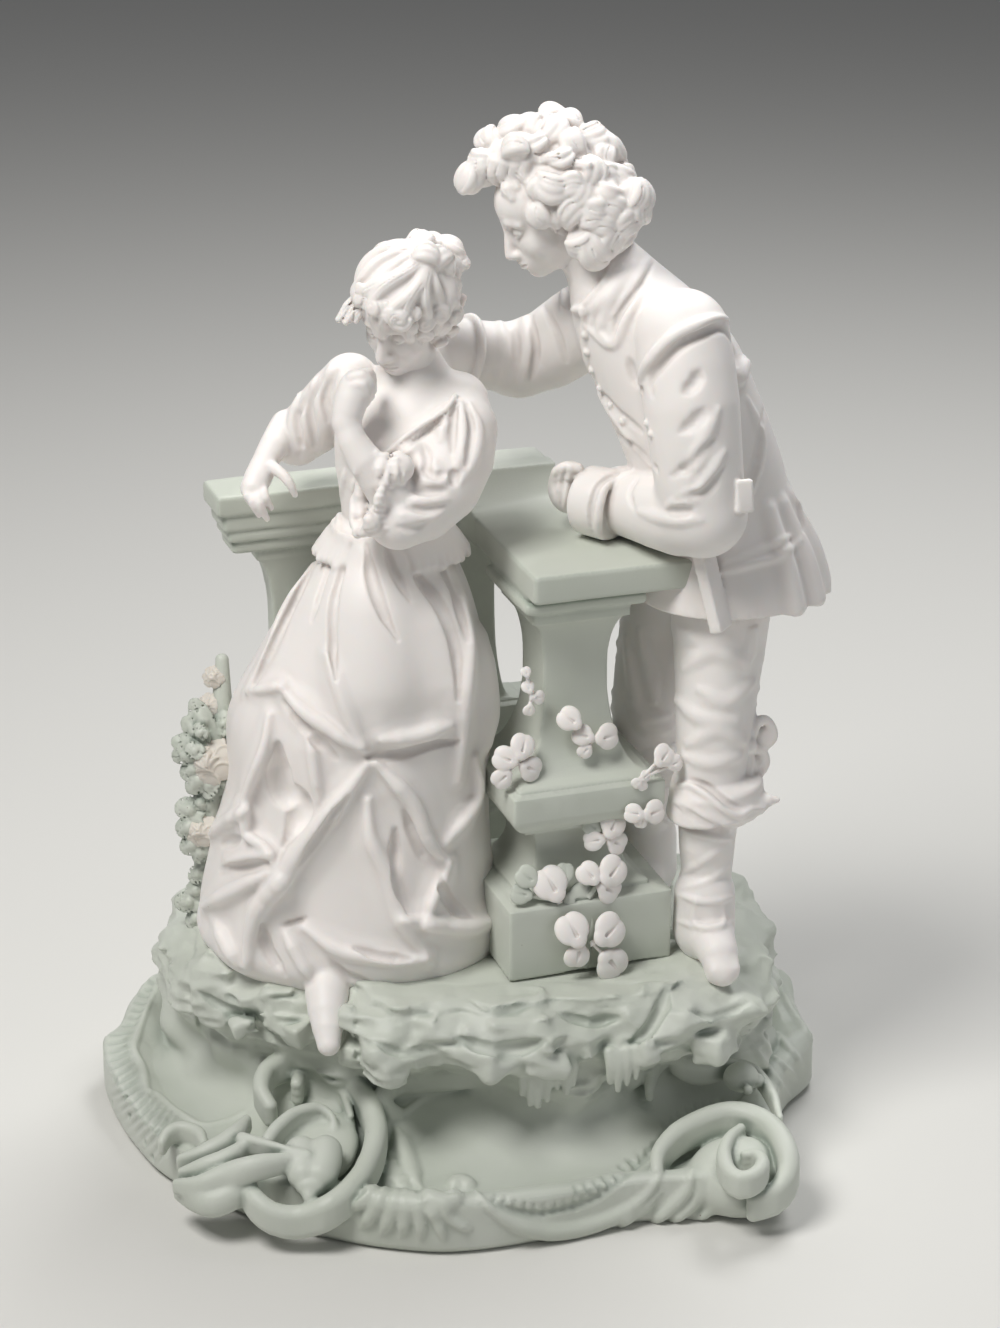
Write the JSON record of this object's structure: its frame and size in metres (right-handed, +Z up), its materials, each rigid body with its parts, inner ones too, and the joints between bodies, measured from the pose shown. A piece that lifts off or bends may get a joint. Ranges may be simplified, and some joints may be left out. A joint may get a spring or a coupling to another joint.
{
  "type": "courting couple figurine",
  "caption": "Bisque porcelain group: a young man leans over a moulded balustrade towards a half-seated young woman, on a scrolled green base with rocks, roses and a flowering vine.",
  "frame": {"origin": "centre of the bounding box in plan, at the level of the underside", "axes": "+Z up, +X to the viewer's right, +Y away from the viewer who faces the front of the group"},
  "size_m": [0.222, 0.1582, 0.3047],
  "materials": {
    "celadon_bisque": "unglazed biscuit porcelain tinted pale grey-green, matt with a faint sheen",
    "white_bisque": "unglazed white biscuit porcelain, matt with a faint sheen",
    "blush_bisque": "unglazed biscuit porcelain with a warm blush tint, matt"
  },
  "bodies": {
    "root": {"rocaille_base": "celadon_bisque", "balustrade": "celadon_bisque", "woman": "white_bisque", "man": "white_bisque", "vine": "celadon_bisque", "rose_leaves": "celadon_bisque", "rose_large": "blush_bisque", "rose_small": "blush_bisque", "rose_bud_high": "blush_bisque", "rose_bud_low": "blush_bisque", "flower_neck": "white_bisque", "flower_middle": "white_bisque", "flower_block_left": "white_bisque", "flower_block_right": "white_bisque", "flower_under_block": "white_bisque", "flower_side": "white_bisque", "flower_plinth_left": "white_bisque", "flower_plinth_right": "white_bisque", "flower_foot_left": "white_bisque", "flower_foot_right": "white_bisque"}
  },
  "joints": []
}
